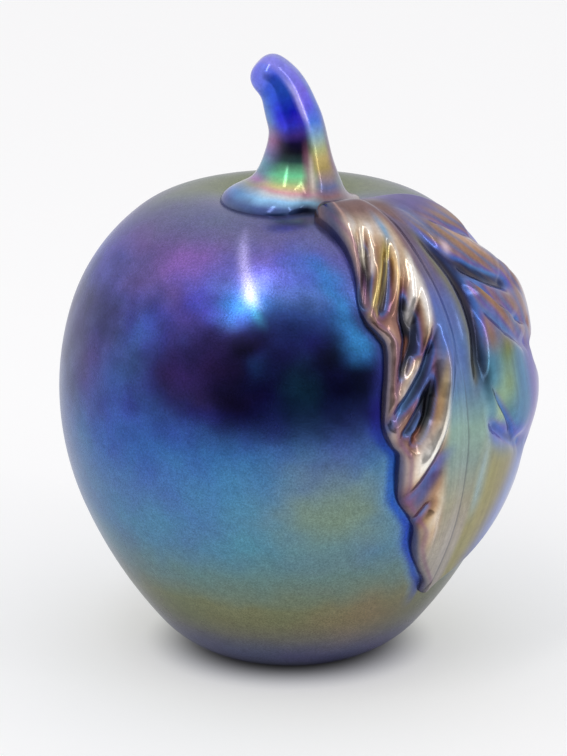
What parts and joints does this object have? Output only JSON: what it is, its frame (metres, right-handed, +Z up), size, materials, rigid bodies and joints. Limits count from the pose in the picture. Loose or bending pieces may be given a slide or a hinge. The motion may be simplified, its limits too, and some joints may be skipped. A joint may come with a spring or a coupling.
{
  "type": "art glass apple",
  "caption": "Blown art glass apple with a waisted body, a flared stem bent to one side and one large veined leaf laid down the shoulder",
  "frame": {"origin": "centre of the ground base, on the body's axis, at the height the base rests", "axes": "+Z up along the body's axis; -Y is the front; the leaf lies between -Y and +X and the stem's tip bends towards -X"},
  "size_m": [0.1021, 0.0984, 0.13],
  "materials": {
    "body_glass": "opaque lustre glass, satin iridescent skin from violet through blue to olive gold",
    "stem_glass": "opaque lustre glass, fire polished, blue violet with green, yellow and pink bands at the foot",
    "leaf_glass": "opaque lustre glass, fire polished, bronze and gold with blue and green bands"
  },
  "bodies": {
    "root": {"apple_body": "body_glass", "stem": "stem_glass", "leaf": "leaf_glass"}
  },
  "joints": []
}
